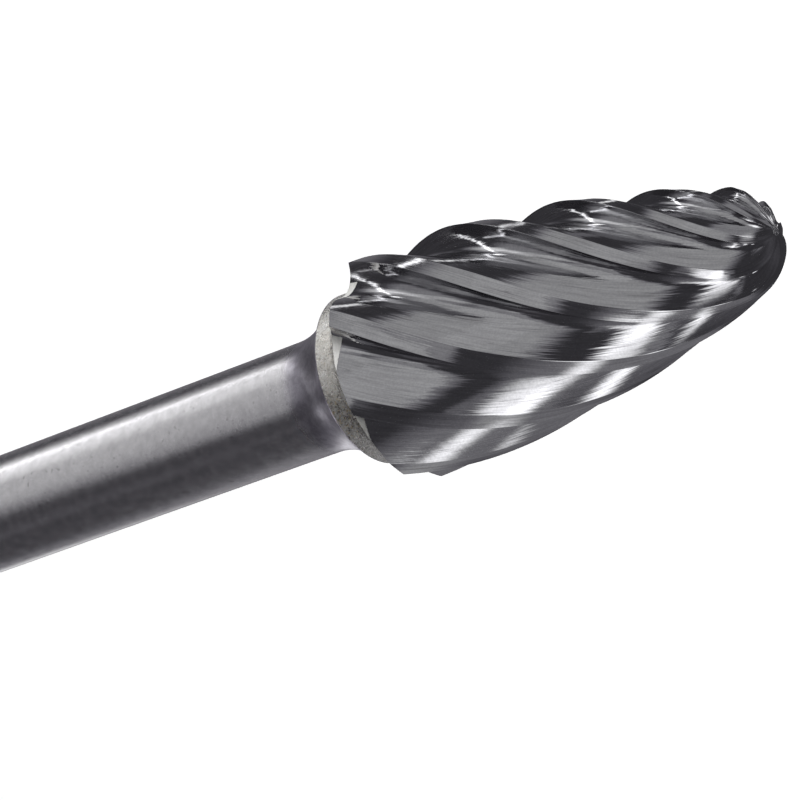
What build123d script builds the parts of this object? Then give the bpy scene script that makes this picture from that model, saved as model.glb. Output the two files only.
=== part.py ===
from build123d import *
import os
from math import sin, cos, pi, radians, degrees, sqrt, hypot, atan2, asin

# Carbide burr, tree shape with a rounded nose. Millimetres.
# The tool's axis is +Z. The origin is the middle of the shank's flat end,
# and the nose is at the top.

# ------------------------------------------------------------------ sizes
overall_length = 69.85          # 2 3/4 in
shank_diameter = 6.35           # 1/4 in, what the collet grips
shank_end_chamfer = 0.5
head_diameter = 12.70           # 1/2 in over the cutting edges
head_back = 43.65               # height of the head's flat back face
back_face_radius = 4.76         # of the boss, where the flared neck meets it
braze_thickness = 0.12          # film of silver solder under the head

neck_start = 40.05              # where the shank begins to flare
neck_radius = 4.90              # hollow radius of the flare

# envelope of the cutting edges: short parallel part, long arc, round nose
arc_start = 45.87               # end of the parallel part
nose_radius = 3.15
nose_spot_radius = 0.34         # small plain spot where the flutes die out

# unground sintered boss and shoulder behind the flutes; the shoulder is a
# little off centre
boss_height = 1.25              # length of the plain round boss
shoulder_slope = 2.10           # rise of radius for each mm of height
shoulder_drift = 0.65           # sideways run of the shoulder for each mm
shoulder_drift_angle = 83.0     # direction of that run, degrees from +X
shoulder_height = 1.40

# flutes
teeth = 8
spiral_tangent = 0.605          # tangent of the spiral angle, about 31 degrees
first_edge_angle = -174.0       # edge of the first tooth, at head_back + 0.8
flute_depth = 1.44              # at the full diameter
gullet_radius = 1.12
land_angle = 10.0               # width of the land, degrees of the circle
land_drop = 0.13                # fall of the land behind the edge
back_crown = 0.08               # sagitta of the crowned tooth back
depth_power = 1.05              # how the flute depth fades towards the nose
stations = 27                   # cross-sections along the head

# ---------------------------------------------------------------- geometry
head_radius = head_diameter / 2
shank_radius = shank_diameter / 2
pitch = 360.0 / teeth
datum = head_back + 0.8
nose_centre = overall_length - nose_radius
arc_radius = ((nose_centre - arc_start) ** 2 / (head_radius - nose_radius)
              + (nose_radius + head_radius)) / 2
_dz, _dr = nose_centre - arc_start, arc_radius - head_radius
nose_join = nose_centre + nose_radius * _dz / hypot(_dz, _dr)


def envelope(z):
    """Radius of the cutting edges at height z."""
    if z <= arc_start:
        return head_radius
    if z < nose_join:
        return head_radius - arc_radius + sqrt(arc_radius ** 2 - (z - arc_start) ** 2)
    return sqrt(max(nose_radius ** 2 - (z - nose_centre) ** 2, 0.0))


def spiral(z, steps=400):
    """Angle, degrees, that an edge has turned through between the datum and z."""
    if z <= datum:
        return degrees(spiral_tangent * (z - datum) / head_radius)
    # the last part is summed in the angle round the nose, where it is smooth
    total, low, high = 0.0, datum, min(z, nose_join)
    h = (high - low) / steps
    for i in range(steps):
        total += h / envelope(low + (i + 0.5) * h)
    if z > nose_join:
        total += (asin(min((z - nose_centre) / nose_radius, 1.0))
                  - asin((nose_join - nose_centre) / nose_radius))
    return degrees(spiral_tangent * total)


def tooth_points():
    """Corner points of one tooth space at full diameter, as (angle, radius).

    Angles are measured back from the tooth's own edge, so the edge is 0 and
    the edge of the tooth behind it is one pitch.
    """
    a = radians(pitch)
    back_edge = (head_radius * cos(a), head_radius * sin(a))
    inward = (-cos(a), -sin(a))                # radial rake face
    side = (sin(a), -cos(a))
    # gullet circle: tangent to the rake face, its floor at the flute depth
    c0 = (back_edge[0] + gullet_radius * side[0], back_edge[1] + gullet_radius * side[1])
    target = head_radius - flute_depth + gullet_radius
    b = c0[0] * inward[0] + c0[1] * inward[1]
    s = -b - sqrt(b * b - (c0[0] ** 2 + c0[1] ** 2 - target ** 2))
    c = (c0[0] + s * inward[0], c0[1] + s * inward[1])
    rake_foot = (c[0] - gullet_radius * side[0], c[1] - gullet_radius * side[1])
    # back of the tooth: from the land, tangent to the gullet circle
    w = radians(land_angle)
    heel = ((head_radius - land_drop) * cos(w), (head_radius - land_drop) * sin(w))
    vx, vy = c[0] - heel[0], c[1] - heel[1]
    d = hypot(vx, vy)
    run = sqrt(d * d - gullet_radius ** 2)
    best = None
    for sign in (1, -1):
        t = atan2(vy, vx) + sign * asin(gullet_radius / d)
        p = (heel[0] + run * cos(t), heel[1] + run * sin(t))
        if best is None or hypot(*p) < hypot(*best):
            best = p
    back_foot = best
    mx, my = (heel[0] + back_foot[0]) / 2, (heel[1] + back_foot[1]) / 2
    nx, ny = -(back_foot[1] - heel[1]), back_foot[0] - heel[0]
    n = hypot(nx, ny)
    if nx * heel[0] + ny * heel[1] > 0:
        nx, ny = -nx, -ny
    back_mid = (mx - back_crown * nx / n, my - back_crown * ny / n)
    # lowest point of the gullet
    gx, gy = -c[0] / hypot(*c), -c[1] / hypot(*c)
    floor = (c[0] + gullet_radius * gx, c[1] + gullet_radius * gy)
    pts = [(head_radius, 0.0), heel, back_mid, back_foot, floor, rake_foot]
    return [(degrees(atan2(y, x)), hypot(x, y)) for x, y in pts]


tooth = tooth_points()


def station_point(z, k, which):
    """Point number which of tooth k on the cross-section at height z."""
    back, radius = tooth[which]
    r_edge = envelope(z)
    drop = (head_radius - radius) * (r_edge / head_radius) ** depth_power
    t = radians(first_edge_angle + spiral(z) + pitch * k - back)
    return ((r_edge - drop) * cos(t), (r_edge - drop) * sin(t))


# heights of the cross-sections: even steps of turn, closer together where the
# outline bends quickly round the nose
top = nose_centre + sqrt(nose_radius ** 2 - nose_spot_radius ** 2)
fine = [head_back + (top - head_back) * i / 4000 for i in range(4001)]
turn = [spiral(z, 60) for z in fine]
heights = []
for i in range(stations):
    want = turn[0] + (turn[-1] - turn[0]) * i / (stations - 1)
    j = min(range(len(fine)), key=lambda n: abs(turn[n] - want))
    heights.append(fine[j])
heights[0], heights[-1] = head_back, top
print("arc radius", round(arc_radius, 2), "nose join", round(nose_join, 2),
      "total turn", round(turn[-1] - turn[0], 1))

# ------------------------------------------------------------ cutting head
with BuildPart() as cutting_head:
    for z in heights:
        with BuildSketch(Plane.XY.offset(z)):
            with BuildLine():
                for k in range(teeth):
                    edge = station_point(z, k, 0)
                    heel = station_point(z, k, 1)
                    back_mid = station_point(z, k, 2)
                    back_foot = station_point(z, k, 3)
                    floor = station_point(z, k, 4)
                    rake_foot = station_point(z, k, 5)
                    next_edge = station_point(z, k - 1, 0)
                    Line(edge, heel)
                    ThreePointArc(heel, back_mid, back_foot)
                    ThreePointArc(back_foot, floor, rake_foot)
                    Line(rake_foot, next_edge)
            make_face()
    loft()

# envelope of the sintered blank: round boss on the back face, then the
# shoulder rising from it to beyond the cutting edges
shoulder_start = head_back + boss_height
shoulder_end = shoulder_start + shoulder_height
with BuildPart() as blank:
    with BuildSketch(Plane.XY.offset(shoulder_start)):
        Circle(back_face_radius)
    drift = shoulder_drift * shoulder_height
    with BuildSketch(Plane.XY.offset(shoulder_end)):
        with Locations((drift * cos(radians(shoulder_drift_angle)),
                        drift * sin(radians(shoulder_drift_angle)))):
            Circle(back_face_radius + shoulder_slope * shoulder_height)
    loft(ruled=True)
    with BuildSketch(Plane.XY.offset(head_back)):
        Circle(back_face_radius)
    extrude(amount=boss_height)
    with BuildSketch(Plane.XY.offset(shoulder_end)):
        Circle(head_radius + 1.0)
    extrude(amount=overall_length - shoulder_end + 1.0)

with cutting_head:
    add(blank.part, mode=Mode.INTERSECT)

cutting_head.part.label = "cutting_head"

# ------------------------------------------------------------------- shank
seat = head_back - braze_thickness
neck_top_radius = shank_radius + neck_radius - sqrt(neck_radius ** 2 - (seat - neck_start) ** 2)
neck_half = radians(degrees(asin((seat - neck_start) / neck_radius)) / 2)
neck_mid = (shank_radius + neck_radius * (1 - cos(neck_half)),
            neck_start + neck_radius * sin(neck_half))
with BuildPart() as shank:
    with BuildSketch(Plane.XZ):
        with BuildLine():
            Polyline((0, 0), (shank_radius - shank_end_chamfer, 0),
                     (shank_radius, shank_end_chamfer), (shank_radius, neck_start))
            ThreePointArc((shank_radius, neck_start), neck_mid, (neck_top_radius, seat))
            Polyline((neck_top_radius, seat), (0, seat), (0, 0))
        make_face()
    revolve(axis=Axis.Z)
shank.part.label = "shank"

# ------------------------------------------------------------- braze joint
# thin film of solder between the shank's front face and the head's back
with BuildPart() as braze_joint:
    with BuildSketch(Plane.XZ):
        with BuildLine():
            Polyline((0, seat), (neck_top_radius, seat),
                     (back_face_radius, head_back), (0, head_back), (0, seat))
        make_face()
    revolve(axis=Axis.Z)
braze_joint.part.label = "braze_joint"

os.makedirs("parts", exist_ok=True)
export_step(shank.part, "parts/shank.step")
export_step(braze_joint.part, "parts/braze_joint.step")
export_step(cutting_head.part, "parts/cutting_head.step")
print("neck top radius", round(neck_top_radius, 3))
print("volumes", [round(p.part.volume, 2) for p in (shank, braze_joint, cutting_head)])
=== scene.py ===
import math

import bpy
import numpy as np
from mathutils import Matrix, Vector


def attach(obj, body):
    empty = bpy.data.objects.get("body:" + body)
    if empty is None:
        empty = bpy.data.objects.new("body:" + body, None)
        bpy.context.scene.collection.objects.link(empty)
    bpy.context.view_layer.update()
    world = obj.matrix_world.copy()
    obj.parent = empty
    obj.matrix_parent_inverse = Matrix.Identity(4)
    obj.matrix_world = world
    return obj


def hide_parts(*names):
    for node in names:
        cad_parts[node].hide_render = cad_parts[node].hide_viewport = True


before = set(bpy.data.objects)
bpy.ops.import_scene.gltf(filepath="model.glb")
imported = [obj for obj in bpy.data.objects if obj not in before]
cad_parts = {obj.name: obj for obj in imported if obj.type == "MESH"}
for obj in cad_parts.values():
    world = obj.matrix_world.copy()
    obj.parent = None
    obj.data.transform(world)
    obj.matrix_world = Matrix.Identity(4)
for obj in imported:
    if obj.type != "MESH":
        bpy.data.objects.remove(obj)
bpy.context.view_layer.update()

# Carbide burr, tree shape with a rounded nose: looks only. Everything below is
# worked out in millimetres in the row frame and scaled to metres at the end.
MM = 0.001

# ------------------------------------------------------------------- sizes
OVERALL = 69.85
SHANK_R = 3.175
SHANK_CHAMFER = 0.5
HEAD_R = 6.35
HEAD_BACK = 43.65
BACK_R = 4.76
BRAZE = 0.12
NECK_START = 40.05
NECK_RADIUS = 4.90
ARC_START = 45.87
NOSE_R = 3.15
NOSE_SPOT_R = 0.34
BOSS_H = 1.25
SHOULDER_SLOPE = 2.10
SHOULDER_DRIFT = 0.65
SHOULDER_ANGLE = math.radians(83.0)
TEETH = 8
SPIRAL = 0.605
FIRST_EDGE = math.radians(-174.0)
FLUTE_DEPTH = 1.44
GULLET_R = 1.12
LAND_ANGLE = math.radians(10.0)
LAND_DROP = 0.13
BACK_CROWN = 0.08
DEPTH_POWER = 1.05

PITCH = 2 * math.pi / TEETH
DATUM = HEAD_BACK + 0.8
NOSE_C = OVERALL - NOSE_R
ARC_R = ((NOSE_C - ARC_START) ** 2 / (HEAD_R - NOSE_R) + (NOSE_R + HEAD_R)) / 2
_dz, _dr = NOSE_C - ARC_START, ARC_R - HEAD_R
NOSE_JOIN = NOSE_C + NOSE_R * _dz / math.hypot(_dz, _dr)
TOP = NOSE_C + math.sqrt(NOSE_R ** 2 - NOSE_SPOT_R ** 2)


def envelope(z):
    """Radius of the cutting edges at height z."""
    z = np.asarray(z, float)
    arc = HEAD_R - ARC_R + np.sqrt(np.maximum(ARC_R ** 2 - (z - ARC_START) ** 2, 0))
    nose = np.sqrt(np.maximum(NOSE_R ** 2 - (z - NOSE_C) ** 2, 0))
    return np.where(z <= ARC_START, HEAD_R, np.where(z < NOSE_JOIN, arc, nose))


_zt = np.linspace(DATUM, NOSE_JOIN, 6001)
_it = np.concatenate([[0], np.cumsum(0.5 * np.diff(_zt)
                                     * (1 / envelope(_zt[1:]) + 1 / envelope(_zt[:-1])))])


def turn(z):
    """Angle in radians that an edge has turned through between the datum and z."""
    z = np.asarray(z, float)
    low = (z - DATUM) / HEAD_R
    mid = np.interp(z, _zt, _it)
    a0 = math.asin((NOSE_JOIN - NOSE_C) / NOSE_R)
    high = _it[-1] + np.arcsin(np.clip((z - NOSE_C) / NOSE_R, -1, 1)) - a0
    return SPIRAL * np.where(z < DATUM, low, np.where(z <= NOSE_JOIN, mid, high))


# ----------------------------------------------------- one tooth's section
def tooth_points():
    """Corner points of one tooth space at full diameter: (angle back, radius)."""
    a = PITCH
    edge2 = np.array([HEAD_R * math.cos(a), HEAD_R * math.sin(a)])
    inward = np.array([-math.cos(a), -math.sin(a)])
    side = np.array([math.sin(a), -math.cos(a)])
    c0 = edge2 + GULLET_R * side
    target = HEAD_R - FLUTE_DEPTH + GULLET_R
    b = c0 @ inward
    s = -b - math.sqrt(b * b - (c0 @ c0 - target ** 2))
    c = c0 + s * inward
    rake_foot = c - GULLET_R * side
    heel = (HEAD_R - LAND_DROP) * np.array([math.cos(LAND_ANGLE), math.sin(LAND_ANGLE)])
    v = c - heel
    d = float(np.hypot(*v))
    run = math.sqrt(d * d - GULLET_R ** 2)
    best = None
    for sign in (1, -1):
        t = math.atan2(v[1], v[0]) + sign * math.asin(GULLET_R / d)
        p = heel + run * np.array([math.cos(t), math.sin(t)])
        if best is None or np.hypot(*p) < np.hypot(*best):
            best = p
    foot = best
    n = np.array([-(foot - heel)[1], (foot - heel)[0]])
    n /= np.hypot(*n)
    if n @ heel > 0:
        n = -n
    mid = (heel + foot) / 2 - BACK_CROWN * n
    floor = c - GULLET_R * c / np.hypot(*c)
    pts = [np.array([HEAD_R, 0.0]), heel, mid, foot, floor, rake_foot]
    return [(math.atan2(p[1], p[0]), float(np.hypot(*p))) for p in pts]


TOOTH = tooth_points()


def arc_through(p0, p1, p2, t):
    """Points at fractions t along the circle arc p0-p1-p2; p are (n, 2), t is (m,)."""
    ax, ay = p0[:, 0], p0[:, 1]
    bx, by = p1[:, 0], p1[:, 1]
    cx, cy = p2[:, 0], p2[:, 1]
    d = 2 * (ax * (by - cy) + bx * (cy - ay) + cx * (ay - by))
    a2, b2, c2 = ax ** 2 + ay ** 2, bx ** 2 + by ** 2, cx ** 2 + cy ** 2
    ux = (a2 * (by - cy) + b2 * (cy - ay) + c2 * (ay - by)) / d
    uy = (a2 * (cx - bx) + b2 * (ax - cx) + c2 * (bx - ax)) / d
    r = np.hypot(ax - ux, ay - uy)
    t0 = np.arctan2(ay - uy, ax - ux)
    t1 = np.arctan2(by - uy, bx - ux)
    t2 = np.arctan2(cy - uy, cx - ux)
    wrap = lambda x: (x + np.pi) % (2 * np.pi) - np.pi
    total = wrap(t1 - t0) + wrap(t2 - t1)
    ang = t0[:, None] + total[:, None] * t[None, :]
    return np.stack([ux[:, None] + r[:, None] * np.cos(ang),
                     uy[:, None] + r[:, None] * np.sin(ang)], -1)


# how many columns each part of the tooth gets
N_LAND, N_BACK, N_GULLET, N_RAKE = 4, 11, 9, 5
EDGE_ROUND = 0.022      # rounding of the cutting edge, mm
HEEL_ROUND = 0.035      # rounding of the land's heel, mm


def section(z):
    """Local section at heights z (n,), the edge at angle 0 and the angle running
    backwards: points (n, columns, 2), the column kinds, and the section length."""
    z = np.asarray(z, float)
    r_edge = envelope(z)
    fade = (r_edge / HEAD_R) ** DEPTH_POWER
    key = []
    for back, radius in TOOTH:
        r = r_edge - (HEAD_R - radius) * fade
        key.append(np.stack([r * math.cos(back), r * math.sin(back)], -1))
    edge, heel, mid, foot, floor, rfoot = key
    nxt = np.stack([r_edge * math.cos(PITCH), r_edge * math.sin(PITCH)], -1)
    size = (r_edge / HEAD_R)[:, None]
    unit = lambda v: v / np.maximum(np.linalg.norm(v, axis=-1, keepdims=True), 1e-12)
    er, hr = EDGE_ROUND * size, HEEL_ROUND * size
    cols, kinds = [], []

    def put(p, kind):
        cols.append(p)
        kinds.append(kind)

    # rounded edge: the tooth in front's rake face ends at column 0
    prev_rfoot = np.stack([rfoot[:, 0] * math.cos(-PITCH) - rfoot[:, 1] * math.sin(-PITCH),
                           rfoot[:, 0] * math.sin(-PITCH) + rfoot[:, 1] * math.cos(-PITCH)], -1)
    rake_dir = unit(prev_rfoot - edge)
    land_dir = unit(heel - edge)
    put(edge + rake_dir * er, "edge")
    put(edge + (rake_dir + land_dir) * er * 0.30, "edge")
    put(edge + land_dir * er, "edge")
    # land
    l0, l1 = edge + land_dir * er, heel - land_dir * hr
    for i in range(1, N_LAND):
        put(l0 + (l1 - l0) * i / N_LAND, "land")
    put(l1, "land")
    # back: from the heel over the crown to the foot
    back_all = arc_through(heel, mid, foot, np.linspace(0, 1, N_BACK + 1))
    back_dir = unit(back_all[:, 1] - back_all[:, 0])
    put(heel + (back_dir - land_dir) * hr * 0.27, "heel")
    put(heel + back_dir * hr, "heel")
    for i in range(1, N_BACK + 1):
        put(back_all[:, i], "back")
    gul = arc_through(foot, floor, rfoot, np.linspace(0, 1, N_GULLET + 1))
    for i in range(1, N_GULLET + 1):
        put(gul[:, i], "gullet")
    r1 = nxt + unit(rfoot - nxt) * er
    for i in range(1, N_RAKE):
        put(rfoot + (r1 - rfoot) * i / N_RAKE, "rake")
    pts = np.stack(cols, 1)
    closing = np.concatenate([pts, r1[:, None]], 1)
    step = np.linalg.norm(np.diff(closing, axis=1), axis=-1)
    run = np.concatenate([np.zeros((len(z), 1)), np.cumsum(step, 1)], 1)
    return pts, kinds, run


_p, KINDS, _r = section(np.array([ARC_START]))
COLS = len(KINDS)


def polar(pts):
    return np.arctan2(pts[..., 1], pts[..., 0]), np.hypot(pts[..., 0], pts[..., 1])


def shoulder_radius(z, phi):
    """Radius of the sintered shoulder, an off-centre cone, at height z and angle phi."""
    h = np.maximum(z - (HEAD_BACK + BOSS_H), 0)
    d = SHOULDER_DRIFT * h
    rho = BACK_R + SHOULDER_SLOPE * h
    q = phi - SHOULDER_ANGLE
    return d * np.cos(q) + np.sqrt(np.maximum(rho ** 2 - (d * np.sin(q)) ** 2, 0))


# ------------------------------------------------------------ mesh helpers
def make_mesh(name, verts, quads, tris=None, smooth=True):
    """A mesh from arrays: verts (n, 3) in mm, quads (m, 4), tris (k, 3)."""
    tris = np.zeros((0, 3), int) if tris is None else np.asarray(tris, int)
    quads = np.asarray(quads, int)
    me = bpy.data.meshes.new(name)
    me.vertices.add(len(verts))
    me.vertices.foreach_set("co", (np.asarray(verts) * MM).astype(np.float32).ravel())
    loops = np.concatenate([quads.ravel(), tris.ravel()])
    me.loops.add(len(loops))
    me.loops.foreach_set("vertex_index", loops.astype(np.int32))
    starts = np.concatenate([np.arange(len(quads)) * 4,
                             len(quads) * 4 + np.arange(len(tris)) * 3])
    me.polygons.add(len(starts))
    me.polygons.foreach_set("loop_start", starts.astype(np.int32))
    me.update(calc_edges=True)
    me.validate()
    me.polygons.foreach_set("use_smooth", np.full(len(me.polygons), smooth))
    ob = bpy.data.objects.new(name, me)
    bpy.context.scene.collection.objects.link(ob)
    return ob


def set_uv(me, name, uv_of_loops):
    layer = me.uv_layers.new(name=name)
    layer.uv.foreach_set("vector", np.asarray(uv_of_loops, np.float32).ravel())
    return layer


def mark_sharp(me, pairs):
    """Marks the edges between these vertex pairs (m, 2) as sharp."""
    n = len(me.vertices)
    ev = np.zeros(len(me.edges) * 2, np.int32)
    me.edges.foreach_get("vertices", ev)
    ev = np.sort(ev.reshape(-1, 2), 1).astype(np.int64)
    key = ev[:, 0] * n + ev[:, 1]
    want = np.sort(np.asarray(pairs, np.int64), 1)
    hit = np.isin(key, want[:, 0] * n + want[:, 1])
    at = me.attributes.get("sharp_edge") or me.attributes.new("sharp_edge", "BOOLEAN", "EDGE")
    at.data.foreach_set("value", hit)


# ------------------------------------------------------------ cutting head
def build_head():
    n_ground, n_shoulder, n_boss = 330, 3, 3
    # columns all round, tooth by tooth, the angle always running backwards
    total = COLS * TEETH

    # where each column leaves the shoulder
    base, _, _ = section(np.array([ARC_START]))
    psi, rad = polar(base[0])
    psi_all = np.concatenate([psi - PITCH * k for k in range(TEETH)])
    rad_all = np.tile(rad, TEETH)
    lo = np.full(total, HEAD_BACK + BOSS_H)
    hi = np.full(total, HEAD_BACK + BOSS_H + 2.0)
    for _ in range(50):
        m = (lo + hi) / 2
        phi = FIRST_EDGE + turn(m) - psi_all
        big = shoulder_radius(m, phi) > rad_all
        hi = np.where(big, m, hi)
        lo = np.where(big, lo, m)
    z_cut = (lo + hi) / 2

    # heights of the ground rows as fractions, finer round the nose
    zf = np.linspace(ARC_START - 0.6, TOP, 20001)
    zf = zf[0] + (zf[-1] - zf[0]) * (1 - (1 - np.linspace(0, 1, 20001)) ** 2)
    rf = envelope(zf)
    ds = np.hypot(np.diff(zf), np.diff(rf))
    rmid = (rf[1:] + rf[:-1]) / 2
    want = ds / np.minimum(0.105, 0.030 + 0.030 * rmid)
    cum = np.concatenate([[0], np.cumsum(want)])
    rows = np.interp(np.linspace(0, cum[-1], n_ground), cum, zf)
    frac = (rows - rows[0]) / (rows[-1] - rows[0])
    run_path = np.concatenate([[0], np.cumsum(ds)]) * math.sqrt(1 + SPIRAL ** 2)

    verts, uv, kind_row = [], [], []
    # boss rows, from the back face upwards
    boss_z = [HEAD_BACK, HEAD_BACK + 0.05, HEAD_BACK + 0.5, HEAD_BACK + 0.9, HEAD_BACK + BOSS_H]
    boss_r = [BACK_R - 0.03, BACK_R, BACK_R, BACK_R, BACK_R]
    for z, r in zip(boss_z, boss_r):
        phi = FIRST_EDGE + turn(z) - psi_all
        verts.append(np.stack([r * np.cos(phi), r * np.sin(phi), np.full(total, z)], -1))
    # shoulder rows
    for i in range(1, n_shoulder + 1):
        z = HEAD_BACK + BOSS_H + (z_cut - HEAD_BACK - BOSS_H) * i / n_shoulder
        phi = FIRST_EDGE + turn(z) - psi_all
        r = shoulder_radius(z, phi) if i < n_shoulder else rad_all
        verts.append(np.stack([r * np.cos(phi), r * np.sin(phi), z], -1))
    first_ground = len(verts) - 1
    # ground rows: each column has its own heights, so each is a section of its own
    run0 = np.tile(_r[0][:COLS], TEETH)
    runs = [run0]
    for i in range(1, n_ground):
        z = z_cut + (rows[-1] - z_cut) * frac[i]
        fade = (envelope(z) / HEAD_R)
        # the section's points at each height, one column at a time in one go
        pts, _, run = section(z)
        col = np.tile(np.arange(COLS), TEETH)
        p = pts[np.arange(total), col]
        a, r = polar(p)
        phi = FIRST_EDGE + turn(z) - a + PITCH * np.repeat(np.arange(TEETH), COLS)
        verts.append(np.stack([r * np.cos(phi), r * np.sin(phi), z], -1))
        runs.append(run[np.arange(total), col])
    n_rows = len(verts)
    verts = np.concatenate(verts)

    def vid(row, col):
        return row * total + (col % total)

    # quads; psi runs backwards (clockwise from above), so this winding faces out.
    # tooth k is turned forward by k pitches, so the column after the last one of
    # tooth k is the first one of tooth k - 1
    order = np.concatenate([np.arange(COLS) + COLS * k for k in range(TEETH - 1, -1, -1)])
    nxt = np.empty(total, int)
    nxt[order] = np.roll(order, -1)
    cols = order
    quads, mats, loops_uv = [], [], []
    col_len = np.tile(_r[0][:COLS + 1], 1)
    v_of_row = np.interp(rows, zf, run_path)
    for row in range(n_rows - 1):
        a = row * total + nxt[cols]
        b = row * total + cols
        c = (row + 1) * total + cols
        d = (row + 1) * total + nxt[cols]
        quads.append(np.stack([a, b, c, d], -1))
        mats.append(np.full(total, 0 if row >= first_ground - n_shoulder else 1))
    quads = np.concatenate(quads)
    mats = np.concatenate(mats)

    # closing: the nose spot and the back face, each a fan
    tip = len(verts)
    back = tip + 1
    verts = np.concatenate([verts, [[0, 0, TOP], [0, 0, HEAD_BACK]]])
    last = (n_rows - 1) * total
    tris = [np.stack([last + nxt[cols], last + cols, np.full(total, tip)], -1),
            np.stack([cols, nxt[cols], np.full(total, back)], -1)]
    tris = np.concatenate(tris)
    ob = make_mesh("cutting_head_looks", verts, quads, tris)
    me = ob.data
    assert len(me.polygons) == len(quads) + len(tris)
    me.polygons.foreach_set("material_index", np.concatenate(
        [mats, np.zeros(total, int), np.ones(total, int)]).astype(np.int32))

    # coordinates for the finish: across the tooth and along the flute, in mm / 100
    tooth_of = np.repeat(np.arange(TEETH), COLS)
    run_end = []
    u_rows, v_rows = [], []
    for row in range(n_rows):
        if row <= first_ground:
            u = run0
            v = (verts[row * total:(row + 1) * total, 2] - z_cut) * math.sqrt(1 + SPIRAL ** 2)
        else:
            i = row - first_ground
            u = runs[i]
            v = np.full(total, v_of_row[i])
        u_rows.append(u + tooth_of * 7.0)
        v_rows.append(v)
    U = np.concatenate(u_rows + [[0.0, 0.0]])
    V = np.concatenate(v_rows + [[v_of_row[-1] + 0.3, -3.0]])
    nl = len(me.loops)
    li = np.zeros(nl, np.int32)
    me.loops.foreach_get("vertex_index", li)
    uv = np.stack([U[li], V[li]], -1)
    # the face that joins a tooth's last column to the next edge keeps its own side
    q = li[:len(quads) * 4].reshape(-1, 4)
    colq = q % total
    wrap = (colq[:, 0] % COLS == 0) & (colq[:, 1] % COLS == COLS - 1)
    idx = np.where(wrap)[0]
    step = 0.35
    for j, other in ((0, 1), (3, 2)):
        uv[idx * 4 + j, 0] = uv[idx * 4 + other, 0] + step
    set_uv(me, "flute", uv / 100)

    # creases: both sides of the rounded edge and heel, the shoulder's outline
    sharp = []
    edge_cols = [0, 2]
    heel_at = KINDS.index("heel")
    edge_cols += [heel_at - 1, heel_at + 1]
    for k in range(TEETH):
        for c in edge_cols:
            col = k * COLS + c
            for row in range(first_ground, n_rows - 1):
                sharp.append((row * total + col, (row + 1) * total + col))
    for row in (0, 1, first_ground, n_rows - 1):
        for c in range(total):
            sharp.append((row * total + c, row * total + nxt[c]))
    mark_sharp(me, sharp)
    return ob


head = build_head()


# ------------------------------------------------------- turned round parts
def lathe(name, profile, segments=256, close_bottom=True, close_top=True):
    """A turned piece from a profile [(radius, height)], with a uv of the angle
    along u and the profile length along v."""
    prof = np.array(profile, float)
    n = len(prof)
    ang = np.linspace(0, 2 * np.pi, segments, endpoint=False)
    v = np.stack([np.outer(prof[:, 0], np.cos(ang)), np.outer(prof[:, 0], np.sin(ang)),
                  np.repeat(prof[:, 1][:, None], segments, 1)], -1).reshape(-1, 3)
    s = np.concatenate([[0], np.cumsum(np.hypot(*np.diff(prof, axis=0).T))])
    c = np.arange(segments)
    c2 = (c + 1) % segments
    quads = np.concatenate([np.stack([i * segments + c, i * segments + c2,
                                      (i + 1) * segments + c2, (i + 1) * segments + c], -1)
                            for i in range(n - 1)])
    extra, tris = [], []
    base = len(v)
    if close_bottom:
        extra.append([0, 0, prof[0, 1]])
        tris.append(np.stack([c2, c, np.full(segments, base)], -1))
    if close_top:
        extra.append([0, 0, prof[-1, 1]])
        tris.append(np.stack([(n - 1) * segments + c, (n - 1) * segments + c2,
                              np.full(segments, base + len(extra) - 1)], -1))
    if extra:
        v = np.concatenate([v, extra])
    ob = make_mesh(name, v, quads, np.concatenate(tris) if tris else None)
    me = ob.data
    uv = np.zeros((len(me.loops), 2))
    li = np.zeros(len(me.loops), np.int32)
    me.loops.foreach_get("vertex_index", li)
    nq = len(quads) * 4
    q = li[:nq].reshape(-1, 4)
    colu = (q % segments).astype(float)
    last = colu[:, [0]] == segments - 1
    colu[:, 1:3] = np.where(last, segments, colu[:, 1:3])
    uv[:nq, 0] = (colu / segments).ravel()
    uv[:nq, 1] = (s[np.minimum(q // segments, n - 1)] / 100).ravel()
    set_uv(me, "turned", uv)
    return ob


seat = HEAD_BACK - BRAZE
neck_top_r = SHANK_R + NECK_RADIUS - math.sqrt(NECK_RADIUS ** 2 - (seat - NECK_START) ** 2)
prof = []
# end face with its chamfer, the corners just broken
b = 0.05
prof += [(SHANK_R - SHANK_CHAMFER - b, 0.0), (SHANK_R - SHANK_CHAMFER - b * 0.35, b * 0.12),
         (SHANK_R - SHANK_CHAMFER + b * 0.6, b * 0.62),
         (SHANK_R - b * 0.7, SHANK_CHAMFER - b * 0.75), (SHANK_R - b * 0.15, SHANK_CHAMFER - b * 0.05),
         (SHANK_R, SHANK_CHAMFER + b)]
prof += [(SHANK_R, z) for z in np.linspace(SHANK_CHAMFER + b, NECK_START, 60)[1:]]
end_angle = math.asin((seat - NECK_START) / NECK_RADIUS)
for t in np.linspace(0, end_angle, 40)[1:]:
    prof.append((SHANK_R + NECK_RADIUS * (1 - math.cos(t)), NECK_START + NECK_RADIUS * math.sin(t)))
shank = lathe("shank_looks", prof)

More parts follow.
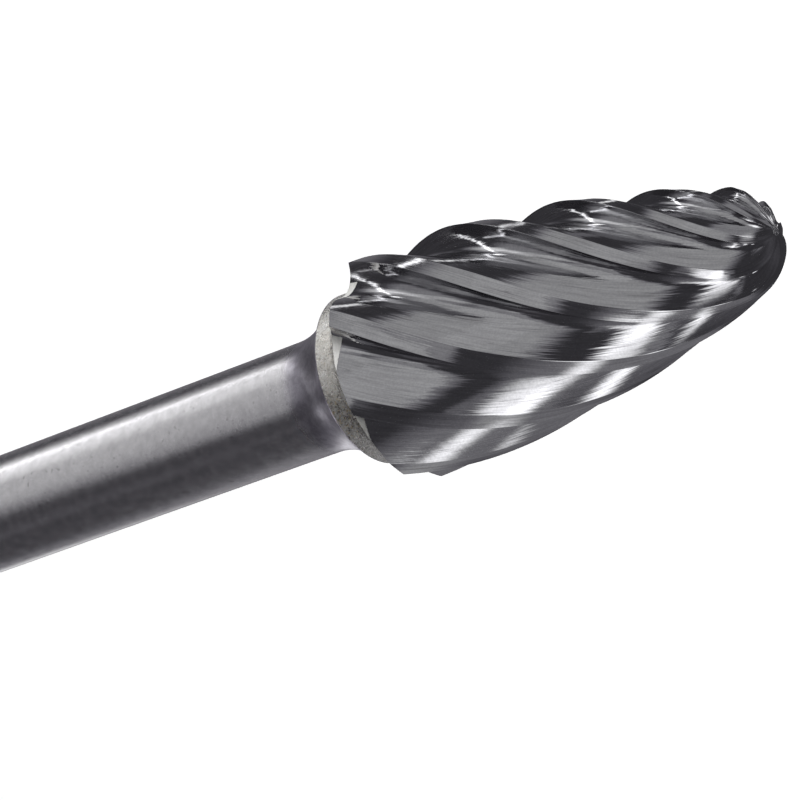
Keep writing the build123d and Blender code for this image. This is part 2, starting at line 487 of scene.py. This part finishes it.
# the solder between shank and head: a thin ring with an uneven, slightly
# hollow outer face
def build_braze():
    segments = 512
    ang = np.linspace(0, 2 * np.pi, segments, endpoint=False)
    rng = np.random.default_rng(7)
    wave = np.zeros(segments)
    for f in range(2, 40):
        wave += rng.normal() / f ** 0.9 * np.cos(f * ang + rng.uniform(0, 2 * np.pi))
    wave /= np.abs(wave).max()
    rows = []
    for t in np.linspace(0, 1, 7):
        z = seat + BRAZE * t
        r = neck_top_r + (BACK_R - neck_top_r) * t
        hollow = 0.030 * math.sin(math.pi * t)
        rr = r - hollow * (0.6 + 0.4 * wave)
        rows.append(np.stack([rr * np.cos(ang), rr * np.sin(ang), np.full(segments, z)], -1))
    v = np.concatenate(rows)
    n = len(rows)
    c = np.arange(segments)
    c2 = (c + 1) % segments
    quads = np.concatenate([np.stack([i * segments + c, i * segments + c2,
                                      (i + 1) * segments + c2, (i + 1) * segments + c], -1)
                            for i in range(n - 1)])
    base = len(v)
    v = np.concatenate([v, [[0, 0, seat], [0, 0, HEAD_BACK]]])
    tris = np.concatenate([np.stack([c2, c, np.full(segments, base)], -1),
                           np.stack([(n - 1) * segments + c, (n - 1) * segments + c2,
                                     np.full(segments, base + 1)], -1)])
    return make_mesh("braze_ring_looks", v, quads, tris)


braze = build_braze()


# --------------------------------------------------------------- materials
class Nodes:
    """Short hand for building a material's nodes."""

    def __init__(self, name):
        self.mat = bpy.data.materials.new(name)
        self.mat.use_nodes = True
        self.t = self.mat.node_tree
        self.t.nodes.clear()
        self.out = self.t.nodes.new("ShaderNodeOutputMaterial")

    def new(self, kind, **kw):
        n = self.t.nodes.new(kind)
        for k, v in kw.items():
            if k.startswith("in_"):
                n.inputs[k[3:].replace("_", " ")].default_value = v
            else:
                setattr(n, k, v)
        return n

    def link(self, a, b):
        self.t.links.new(a, b)

    def math(self, op, a, b=None, clamp=False):
        n = self.new("ShaderNodeMath", operation=op, use_clamp=clamp)
        for i, x in enumerate((a, b)):
            if x is None:
                continue
            if isinstance(x, (int, float)):
                n.inputs[i].default_value = x
            else:
                self.link(x, n.inputs[i])
        return n.outputs[0]

    def noise(self, vector, scale=1.0, detail=2.0, rough=0.5, dist=0.0, dims="3D"):
        n = self.new("ShaderNodeTexNoise", noise_dimensions=dims)
        n.inputs["Scale"].default_value = scale
        n.inputs["Detail"].default_value = detail
        n.inputs["Roughness"].default_value = rough
        n.inputs["Distortion"].default_value = dist
        self.link(vector, n.inputs["Vector"])
        return n.outputs["Fac"]

    def mapping(self, vector, scale=(1, 1, 1), loc=(0, 0, 0), rot=(0, 0, 0)):
        n = self.new("ShaderNodeMapping")
        n.inputs["Scale"].default_value = scale
        n.inputs["Location"].default_value = loc
        n.inputs["Rotation"].default_value = rot
        self.link(vector, n.inputs["Vector"])
        return n.outputs["Vector"]

    def ramp(self, fac, stops, interp="LINEAR"):
        n = self.new("ShaderNodeValToRGB")
        r = n.color_ramp
        r.interpolation = interp
        while len(r.elements) < len(stops):
            r.elements.new(0.5)
        for e, (p, c) in zip(r.elements, stops):
            e.position = p
            e.color = (c, c, c, 1) if isinstance(c, (int, float)) else (*c, 1)
        self.link(fac, n.inputs["Fac"])
        return n.outputs["Color"]

    def mix(self, fac, a, b, blend="MIX"):
        n = self.new("ShaderNodeMix", data_type="RGBA", blend_type=blend)
        for sock, x in ((n.inputs[0], fac), (n.inputs[6], a), (n.inputs[7], b)):
            if isinstance(x, (int, float)):
                sock.default_value = x
            elif isinstance(x, tuple):
                sock.default_value = (*x, 1)
            else:
                self.link(x, sock)
        return n.outputs[2]

    def bump(self, height, strength, distance, normal=None):
        n = self.new("ShaderNodeBump")
        n.inputs["Strength"].default_value = strength
        n.inputs["Distance"].default_value = distance
        self.link(height, n.inputs["Height"])
        if normal is not None:
            self.link(normal, n.inputs["Normal"])
        return n.outputs["Normal"]


# the wedge of skin in each gullet, in mm: from and to across the tooth, and its
# length along the flute at the rake foot
_psi0, _ = polar(_p[0])
WEDGE_FROM = float(np.interp(math.radians(21.0), np.maximum.accumulate(_psi0), _r[0][:COLS]))
WEDGE_TO = float(np.interp(math.radians(42.5), np.maximum.accumulate(_psi0), _r[0][:COLS]))
WEDGE_LONG = 0.85


def sector(m, obj, degrees, lo, hi):
    """Mask of one stretch round a round piece, about an angle from -Y towards +X."""
    a = math.radians(degrees)
    sep = m.new("ShaderNodeSeparateXYZ")
    m.link(obj, sep.inputs[0])
    x, y = sep.outputs["X"], sep.outputs["Y"]
    r = m.math("SQRT", m.math("ADD", m.math("MULTIPLY", x, x), m.math("MULTIPLY", y, y)))
    d = m.math("SUBTRACT", m.math("MULTIPLY", x, math.sin(a)), m.math("MULTIPLY", y, math.cos(a)))
    side = m.new("ShaderNodeMapRange", interpolation_type="SMOOTHSTEP")
    side.inputs["From Min"].default_value = lo
    side.inputs["From Max"].default_value = hi
    m.link(m.math("DIVIDE", d, r), side.inputs["Value"])
    return side.outputs["Result"]


def ground_carbide():
    m = Nodes("ground_carbide")
    uv = m.new("ShaderNodeUVMap", uv_map="flute").outputs["UV"]
    obj = m.new("ShaderNodeTexCoord").outputs["Object"]
    # grinding lines run along the flute: fine across (u), long along it (v);
    # the uv is a hundredth of a millimetre's value, so x100 is millimetres
    hair = m.noise(m.mapping(uv, (100 * 13, 100 * 0.30, 1)), 1.0, 2.0, 0.5)
    lines = m.noise(m.mapping(uv, (100 * 4.6, 100 * 0.28, 1), (3.1, 7.7, 0)), 1.0, 2.0, 0.6)
    bands = m.noise(m.mapping(uv, (100 * 1.5, 100 * 0.09, 1), (9.3, 1.4, 0)), 1.0, 1.0, 0.5)
    chatter = m.noise(m.mapping(uv, (100 * 0.9, 100 * 2.6, 1), (5.2, 2.2, 0)), 1.0, 1.0, 0.5)
    n = m.bump(hair, 1.0, 0.0000008)
    n = m.bump(lines, 1.0, 0.0000105, n)
    n = m.bump(bands, 1.0, 0.0000080, n)
    n = m.bump(chatter, 1.0, 0.0000010, n)
    # single deeper scratches, each a thin dark line
    scratch = m.noise(m.mapping(uv, (100 * 5.5, 100 * 0.12, 1), (1.7, 4.4, 0)), 1.0, 1.0, 0.4)
    near = m.math("ABSOLUTE", m.math("SUBTRACT", scratch, 0.5))
    thin = m.ramp(near, [(0.0, 1.0), (0.020, 0.0)])
    gate = m.ramp(m.noise(m.mapping(uv, (100 * 1.3, 100 * 0.22, 1), (2.9, 8.1, 0)), 1.0, 1.0, 0.5),
                  [(0.46, 0.0), (0.58, 1.0)])
    scratch = m.math("MULTIPLY", thin, gate)
    # colour: grey carbide, a little darker in the deeper lines and in stains
    tone = m.math("ADD", m.math("MULTIPLY", hair, 0.45), m.math("MULTIPLY", lines, 0.55))
    colour = m.ramp(tone, [(0.30, (0.395, 0.390, 0.405)), (0.52, (0.515, 0.515, 0.530)),
                           (0.72, (0.600, 0.600, 0.610))])
    stain = m.ramp(m.noise(obj, 420.0, 4.0, 0.6), [(0.40, 0.0), (0.66, 1.0)])
    colour = m.mix(m.math("MULTIPLY", stain, 0.18), colour, (0.36, 0.35, 0.365))
    grit = m.ramp(m.noise(obj, 8500.0, 2.0, 0.6), [(0.36, 0.94), (0.64, 1.06)])
    colour = m.mix(1.0, colour, grit, "MULTIPLY")
    colour = m.mix(m.math("MULTIPLY", scratch, 0.55), colour, (0.20, 0.195, 0.205))
    rough = m.math("ADD", 0.045, m.math("MULTIPLY", hair, 0.03))
    rough = m.math("ADD", rough, m.math("MULTIPLY", stain, 0.03))
    rough = m.math("ADD", rough, m.math("MULTIPLY", scratch, 0.12))
    # a small wedge of smooth unground skin is left in each gullet by the boss
    sep = m.new("ShaderNodeSeparateXYZ")
    m.link(uv, sep.inputs[0])
    across = m.math("MULTIPLY", m.math("FRACT", m.math("MULTIPLY", sep.outputs["X"], 100 / 7.0)), 7.0)
    along = m.math("MULTIPLY", sep.outputs["Y"], 100.0)
    along = m.math("ADD", along, m.math("MULTIPLY", m.math("SUBTRACT", lines, 0.5), 0.05))
    reach = m.math("MULTIPLY", m.math("SUBTRACT", across, WEDGE_FROM), WEDGE_LONG / (WEDGE_TO - WEDGE_FROM))
    wedge = m.math("MULTIPLY", m.math("LESS_THAN", along, reach), m.math("LESS_THAN", across, WEDGE_TO))
    wedge = m.math("MULTIPLY", wedge, m.math("GREATER_THAN", along, -0.6))
    skin = m.ramp(m.noise(obj, 5200.0, 3.0, 0.6), [(0.35, (0.51, 0.505, 0.49)), (0.60, (0.60, 0.595, 0.58))])
    colour = m.mix(wedge, colour, skin)
    rough = m.math("ADD", m.math("MULTIPLY", rough, m.math("SUBTRACT", 1.0, wedge)),
                   m.math("MULTIPLY", wedge, 0.38))
    metal = m.math("SUBTRACT", 1.0, m.math("MULTIPLY", wedge, 0.92))
    b = m.new("ShaderNodeBsdfPrincipled")
    m.link(metal, b.inputs["Metallic"])
    b.inputs["Anisotropic"].default_value = 0.30
    b.inputs["Anisotropic Rotation"].default_value = 0.25
    tan = m.new("ShaderNodeTangent", direction_type="UV_MAP", uv_map="flute")
    m.link(tan.outputs["Tangent"], b.inputs["Tangent"])
    m.link(colour, b.inputs["Base Color"])
    m.link(rough, b.inputs["Roughness"])
    m.link(n, b.inputs["Normal"])
    m.link(b.outputs["BSDF"], m.out.inputs["Surface"])
    return m.mat


def sintered_skin():
    m = Nodes("sintered_skin")
    obj = m.new("ShaderNodeTexCoord").outputs["Object"]
    grain = m.noise(obj, 9500.0, 3.0, 0.7)
    lump = m.noise(obj, 3200.0, 4.0, 0.6)
    patch = m.noise(obj, 700.0, 3.0, 0.55)
    base = m.ramp(grain, [(0.36, (0.55, 0.53, 0.48)), (0.48, (0.90, 0.89, 0.855)),
                          (0.62, (1.0, 0.995, 0.97))])
    tint = m.ramp(patch, [(0.38, (0.78, 0.73, 0.64)), (0.58, (0.93, 0.925, 0.90))])
    colour = m.mix(0.35, base, tint)
    # golden specks where the skin has oxidised, and small dark pores
    speck = m.ramp(m.noise(obj, 6800.0, 2.0, 0.6), [(0.55, 0.0), (0.62, 1.0)])
    # painted shade on one stretch of the boss, the side turned from the light: a dark tint and more dark
    # pores there, together with more golden specks of oxidised skin
    shade_and_speck_band = sector(m, obj, 19.0, 0.945, 0.985)
    gold = m.math("ADD", 0.10, m.math("MULTIPLY", shade_and_speck_band, 0.60))
    colour = m.mix(m.math("MULTIPLY", speck, gold), colour, (0.78, 0.63, 0.36))
    pore = m.ramp(m.noise(obj, 7200.0, 2.0, 0.55), [(0.36, 0.85), (0.44, 0.0)])
    # more dark pores on that stretch, part of the painted shade
    pore = m.math("MULTIPLY", pore, m.math("ADD", 0.40, m.math("MULTIPLY", shade_and_speck_band, 0.60)))
    colour = m.mix(pore, colour, (0.20, 0.18, 0.15))
    # painted shade: a dark tint over that stretch of the boss
    colour = m.mix(m.math("MULTIPLY", shade_and_speck_band, 0.25), colour, (0.34, 0.31, 0.26))
    n = m.bump(grain, 1.0, 0.000020)
    n = m.bump(lump, 1.0, 0.000040, n)
    b = m.new("ShaderNodeBsdfPrincipled")
    b.inputs["Metallic"].default_value = 0.90
    rough = m.ramp(lump, [(0.38, 0.20), (0.62, 0.48)])
    m.link(colour, b.inputs["Base Color"])
    m.link(rough, b.inputs["Roughness"])
    m.link(n, b.inputs["Normal"])
    m.link(b.outputs["BSDF"], m.out.inputs["Surface"])
    return m.mat


def silver_solder():
    m = Nodes("silver_solder")
    obj = m.new("ShaderNodeTexCoord").outputs["Object"]
    lump = m.noise(obj, 2600.0, 3.0, 0.6)
    colour = m.ramp(lump, [(0.35, (0.46, 0.43, 0.52)), (0.6, (0.78, 0.73, 0.86))])
    n = m.bump(lump, 0.8, 0.00003)
    b = m.new("ShaderNodeBsdfPrincipled")
    b.inputs["Metallic"].default_value = 1.0
    rough = m.math("ADD", 0.22, m.math("MULTIPLY", lump, 0.18))
    m.link(colour, b.inputs["Base Color"])
    m.link(rough, b.inputs["Roughness"])
    m.link(n, b.inputs["Normal"])
    m.link(b.outputs["BSDF"], m.out.inputs["Surface"])
    return m.mat


def shank_steel():
    m = Nodes("shank_steel")
    uv = m.new("ShaderNodeUVMap", uv_map="turned").outputs["UV"]
    obj = m.new("ShaderNodeTexCoord").outputs["Object"]
    # grinding rings round the shank: fine along v
    rings = m.noise(m.mapping(uv, (6, 100 * 20, 1)), 1.0, 3.0, 0.6)
    slow = m.noise(m.mapping(uv, (2, 100 * 0.9, 1), (4.0, 2.0, 0)), 1.0, 2.0, 0.5)
    mottle = m.noise(obj, 1600.0, 5.0, 0.65)
    pits = m.ramp(m.noise(obj, 3600.0, 2.0, 0.5), [(0.66, 0.0), (0.74, 1.0)])
    n = m.bump(rings, 1.0, 0.0000008)
    n = m.bump(slow, 1.0, 0.000004, n)
    n = m.bump(mottle, 1.0, 0.0000030, n)
    colour = m.ramp(mottle, [(0.35, (0.68, 0.67, 0.685)), (0.65, (0.80, 0.79, 0.805))])
    colour = m.mix(m.math("MULTIPLY", pits, 0.35), colour, (0.25, 0.24, 0.24))
    rough = m.math("ADD", 0.185, m.math("MULTIPLY", mottle, 0.07))
    # heat from the brazing has mottled and dulled the flare
    sep = m.new("ShaderNodeSeparateXYZ")
    m.link(obj, sep.inputs[0])
    near = m.new("ShaderNodeMapRange", interpolation_type="SMOOTHSTEP")
    near.inputs["From Min"].default_value = 0.0396
    near.inputs["From Max"].default_value = 0.0410
    m.link(sep.outputs["Z"], near.inputs["Value"])
    near = near.outputs["Result"]
    blotch = m.ramp(m.noise(obj, 2600.0, 4.0, 0.7), [(0.44, 1.0), (0.56, 0.0)])
    blotch = m.math("MULTIPLY", blotch, near)
    colour = m.mix(m.math("MULTIPLY", blotch, 0.55), colour, (0.20, 0.195, 0.20))
    colour = m.mix(m.math("MULTIPLY", near, 0.60), colour, (0.50, 0.47, 0.56))
    rough = m.math("ADD", rough, m.math("MULTIPLY", near, 0.11))
    n = m.bump(m.noise(obj, 3800.0, 3.0, 0.65), 1.0, 0.0000030, n)
    b = m.new("ShaderNodeBsdfPrincipled")
    b.inputs["Metallic"].default_value = 1.0
    m.link(colour, b.inputs["Base Color"])
    m.link(rough, b.inputs["Roughness"])
    m.link(n, b.inputs["Normal"])
    m.link(b.outputs["BSDF"], m.out.inputs["Surface"])
    return m.mat


head.data.materials.append(ground_carbide())
head.data.materials.append(sintered_skin())
shank.data.materials.append(shank_steel())
braze.data.materials.append(silver_solder())

for piece, node, slot in ((head, "cutting_head", "ground_carbide"),
                          (shank, "shank", "shank_steel"),
                          (braze, "braze_joint", "silver_solder")):
    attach(piece, "root")
    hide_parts(node)


# ------------------------------------------------------------------ camera
TH, AL = 0.5971, 0.3464
P0 = Vector((-0.8989, -1.4019, 223.207))
FOCAL_PX = 4163.0
a_v = Vector((math.cos(TH) * math.cos(AL), -math.cos(TH) * math.sin(AL), -math.sin(TH)))
p_v = Vector((math.sin(AL), math.cos(AL), 0.0))
e_v = Vector((-math.sin(TH) * math.cos(AL), math.sin(TH) * math.sin(AL), -math.cos(TH)))
E_ROW, P_ROW, A_ROW = Vector((0, -1, 0)), Vector((1, 0, 0)), Vector((0, 0, 1))


def to_row(x, y, z):
    """A direction given along the picture's right, up and into the picture."""
    right = e_v.x * E_ROW + p_v.x * P_ROW + a_v.x * A_ROW
    up = -(e_v.y * E_ROW + p_v.y * P_ROW + a_v.y * A_ROW)
    look = e_v.z * E_ROW + p_v.z * P_ROW + a_v.z * A_ROW
    return x * right + y * up + z * look


cam_at = (Vector((0, 0, 44.45)) + (-P0.dot(e_v)) * E_ROW + (-P0.dot(p_v)) * P_ROW
          + (-P0.dot(a_v)) * A_ROW)
cam_data = bpy.data.cameras.new("camera")
cam_data.sensor_width = 36.0
cam_data.lens = FOCAL_PX * 36.0 / 800.0
cam_data.clip_start = 0.01
cam_data.clip_end = 20.0
camera = bpy.data.objects.new("camera", cam_data)
bpy.context.scene.collection.objects.link(camera)
right, up, back = to_row(1, 0, 0), to_row(0, 1, 0), -to_row(0, 0, 1)
camera.matrix_world = Matrix(((right.x, up.x, back.x, cam_at.x * MM),
                              (right.y, up.y, back.y, cam_at.y * MM),
                              (right.z, up.z, back.z, cam_at.z * MM),
                              (0, 0, 0, 1)))
bpy.context.scene.camera = camera

# ------------------------------------------------------- floor and studio
FLOOR_GLOW = 0.80       # the floor is a lit white table


def build_floor():
    m = Nodes("studio_floor")
    b = m.new("ShaderNodeBsdfPrincipled")
    b.inputs["Base Color"].default_value = (0.93, 0.93, 0.93, 1)
    b.inputs["Roughness"].default_value = 0.9
    b.inputs["Specular IOR Level"].default_value = 0.0
    b.inputs["Emission Color"].default_value = (1.0, 1.0, 1.0, 1)
    b.inputs["Emission Strength"].default_value = FLOOR_GLOW
    m.link(b.outputs["BSDF"], m.out.inputs["Surface"])
    s = 3.0
    me = bpy.data.meshes.new("studio_floor")
    me.from_pydata([(-s, -s, 0), (s, -s, 0), (s, s, 0), (-s, s, 0)], [], [(0, 1, 2, 3)])
    ob = bpy.data.objects.new("studio_floor", me)
    bpy.context.scene.collection.objects.link(ob)
    ob.location.z = -0.00002
    me.materials.append(m.mat)
    ob.visible_glossy = False
    ob.visible_diffuse = False
    ob.visible_shadow = False
    return ob


build_floor()


def build_world():
    w = bpy.data.worlds.new("studio")
    bpy.context.scene.world = w
    w.use_nodes = True
    t = w.node_tree
    t.nodes.clear()
    new = t.nodes.new
    link = t.links.new

    def math_node(op, a, b=None, c=None, clamp=False):
        n = new("ShaderNodeMath")
        n.operation = op
        n.use_clamp = clamp
        for i, x in enumerate((a, b, c)):
            if x is None:
                continue
            if isinstance(x, (int, float)):
                n.inputs[i].default_value = x
            else:
                link(x, n.inputs[i])
        return n.outputs[0]

    direction = new("ShaderNodeTexCoord").outputs["Generated"]

    def dot(v):
        n = new("ShaderNodeVectorMath")
        n.operation = "DOT_PRODUCT"
        link(direction, n.inputs[0])
        n.inputs[1].default_value = v
        return n.outputs["Value"]

    def smooth(x, lo, hi):
        n = new("ShaderNodeMapRange")
        n.interpolation_type = "SMOOTHSTEP"
        n.inputs["From Min"].default_value = lo
        n.inputs["From Max"].default_value = hi
        n.inputs["To Min"].default_value = 0.0
        n.inputs["To Max"].default_value = 1.0
        link(x, n.inputs["Value"])
        return n.outputs["Result"]

    def box(az, el, half_w, half_h, roll=0.0, soft=0.25, power=1.0):
        """A soft panel: az 0 is behind the camera and grows to its right, el is up,
        both in degrees, as are the half sizes and the roll."""
        az, el, roll = math.radians(az), math.radians(el), math.radians(roll)
        c = Vector((math.sin(az) * math.cos(el), math.sin(el), -math.cos(az) * math.cos(el)))
        u = Vector((math.cos(az), 0, math.sin(az)))
        v = c.cross(u)
        if v.y < 0:
            v = -v
        u2 = math.cos(roll) * u + math.sin(roll) * v
        v2 = -math.sin(roll) * u + math.cos(roll) * v
        dc, du, dv = dot(to_row(*c)), dot(to_row(*u2)), dot(to_row(*v2))
        au = math_node("ARCTAN2", math_node("ABSOLUTE", du), dc)
        av = math_node("ARCTAN2", math_node("ABSOLUTE", dv), dc)
        hw, hh = math.radians(half_w), math.radians(half_h)
        mu = smooth(au, hw * (1 + soft), hw * (1 - soft))
        mv = smooth(av, hh * (1 + soft), hh * (1 - soft))
        return math_node("MULTIPLY", math_node("MULTIPLY", mu, mv), float(power))

    total = None
    for spec in GREY_WALL:
        one = box(*spec)
        total = one if total is None else math_node("MAXIMUM", total, one)
    for spec in STUDIO:
        total = math_node("ADD", total, box(*spec))
    total = math_node("ADD", total, BASE_LIGHT)

    path = new("ShaderNodeLightPath")
    bg = new("ShaderNodeBackground")
    tint = new("ShaderNodeValToRGB")
    tint.color_ramp.elements[0].position = 0.08
    tint.color_ramp.elements[0].color = (0.98, 0.95, 1.06, 1)
    tint.color_ramp.elements[1].position = 0.45
    tint.color_ramp.elements[1].color = (1.0, 1.0, 1.01, 1)
    link(total, tint.inputs["Fac"])
    lit = new("ShaderNodeVectorMath")
    lit.operation = "SCALE"
    link(tint.outputs["Color"], lit.inputs[0])
    link(total, lit.inputs["Scale"])
    link(lit.outputs["Vector"], bg.inputs["Color"])
    plain = new("ShaderNodeBackground")
    plain.inputs["Color"].default_value = (1.0, 1.0, 1.0, 1)
    plain.inputs["Strength"].default_value = 1.06
    # matte surfaces get a broad soft light from the upper left, dim from below
    az, el = math.radians(SOFT_FROM[0]), math.radians(SOFT_FROM[1])
    toward = dot(to_row(math.sin(az) * math.cos(el), math.sin(el), -math.cos(az) * math.cos(el)))
    broad = math_node("MULTIPLY", smooth(toward, 0.50, 0.97), SOFT_POWER)
    broad = math_node("ADD", broad, SOFT_BASE)
    soft = new("ShaderNodeBackground")
    link(broad, soft.inputs["Color"])
    matte = new("ShaderNodeMixShader")
    link(path.outputs["Is Diffuse Ray"], matte.inputs["Fac"])
    link(plain.outputs["Background"], matte.inputs[1])
    link(soft.outputs["Background"], matte.inputs[2])
    mix = new("ShaderNodeMixShader")
    link(path.outputs["Is Glossy Ray"], mix.inputs["Fac"])
    link(matte.outputs["Shader"], mix.inputs[1])
    link(bg.outputs["Background"], mix.inputs[2])
    out = new("ShaderNodeOutputWorld")
    link(mix.outputs["Shader"], out.inputs["Surface"])
    w.cycles.sampling_method = "NONE"


SOFT_FROM = (-66.0, 56.0)       # az, el of the soft light that matte surfaces get
SOFT_POWER, SOFT_BASE = 3.5, 0.05
BASE_LIGHT = 0.056
# az, el, half width, half height, roll, softness, power
GREY_WALL = [                                      # joined, not added up
    (-54.2, 23.3, 12.2, 17.3, 32.1, 0.08, 0.45),
    (-44.3, 53.8, 45.6, 31.5, -15.0, 0.25, 0.39),
    (-34.5, 59.6, 26.5, 107.7, -25.7, 0.30, 0.28),
    (-88.5, 22.0, 16.5, 36.0, -1.9, 0.25, 0.25),
    (-62.0, 37.9, 17.5, 15.4, 43.9, 0.12, 0.45),
]
STUDIO = [
    (-10.2, -57.9, 3.0, 30.1, 1.2, 0.85, 1.50),    # narrow bright strip below the camera
    (46.8, -82.2, 15.5, 105.3, 73.2, 0.85, 0.21),  # its wide glow
    (36.6, -65.2, 3.3, 10.8, 39.6, 0.85, 2.10),    # second strip, lower right
    (-11.2, -26.3, 9.3, 11.6, 15.5, 0.55, 1.60),
    (8.1, -42.0, 6.3, 4.6, -5.5, 0.50, 0.20),
    (-119.0, -2.0, 0.9, 12.0, -27.0, 0.60, 2.20),  # arch of thin strips, far side
    (-113.8, 17.0, 0.9, 9.5, 3.0, 0.60, 2.60),
    (-118.0, 32.0, 1.2, 8.5, 23.0, 0.60, 3.00),
    (-141.0, 46.5, 12.0, 1.0, 3.0, 0.60, 2.80),
    (-172.5, 35.5, 10.0, 0.8, 45.0, 0.60, 1.30),
    (-113.0, 32.0, 15.0, 5.6, -19.5, 0.85, 1.00),  # what the shank shows
    (-78.1, 2.2, 5.0, 31.5, 26.8, 0.40, 0.29),
    (-172.7, -8.1, 36.3, 14.5, 73.8, 0.31, 0.12),
    (-171.0, -21.0, 7.0, 7.0, 0.0, 0.80, 1.50),    # what the flare shows low down
    (-152.0, -34.0, 17.0, 13.0, 30.0, 0.90, 0.16),
    (-179.6, -70.3, 3.8, 30.0, 12.6, 0.80, 0.30),
    (52.5, -47.3, 3.8, 3.7, -10.0, 0.50, 1.76),    # small lamps
    (136.0, 29.0, 7.0, 6.0, 0.0, 0.50, 2.00),
    (78.0, 2.0, 18.0, 22.0, 0.0, 0.80, 0.045),     # faint glow on the nose
    (142.2, 38.5, 31.7, 6.1, 24.5, 0.10, 0.14),
    (42.2, 39.1, 9.8, 14.0, -8.5, 0.80, 2.00),
    (-129.0, -27.0, 7.0, 2.0, 8.0, 0.60, 1.60),
    (-89.0, -49.0, 8.0, 7.0, 0.0, 0.40, 0.05),     # faint line low on the shank
]
build_world()

scene = bpy.context.scene
scene.view_settings.view_transform = "Standard"
scene.view_settings.look = "None"
scene.view_settings.exposure = 0.0
scene.view_settings.gamma = 1.0
scene.cycles.max_bounces = 8
scene.cycles.glossy_bounces = 5
scene.cycles.caustics_reflective = False
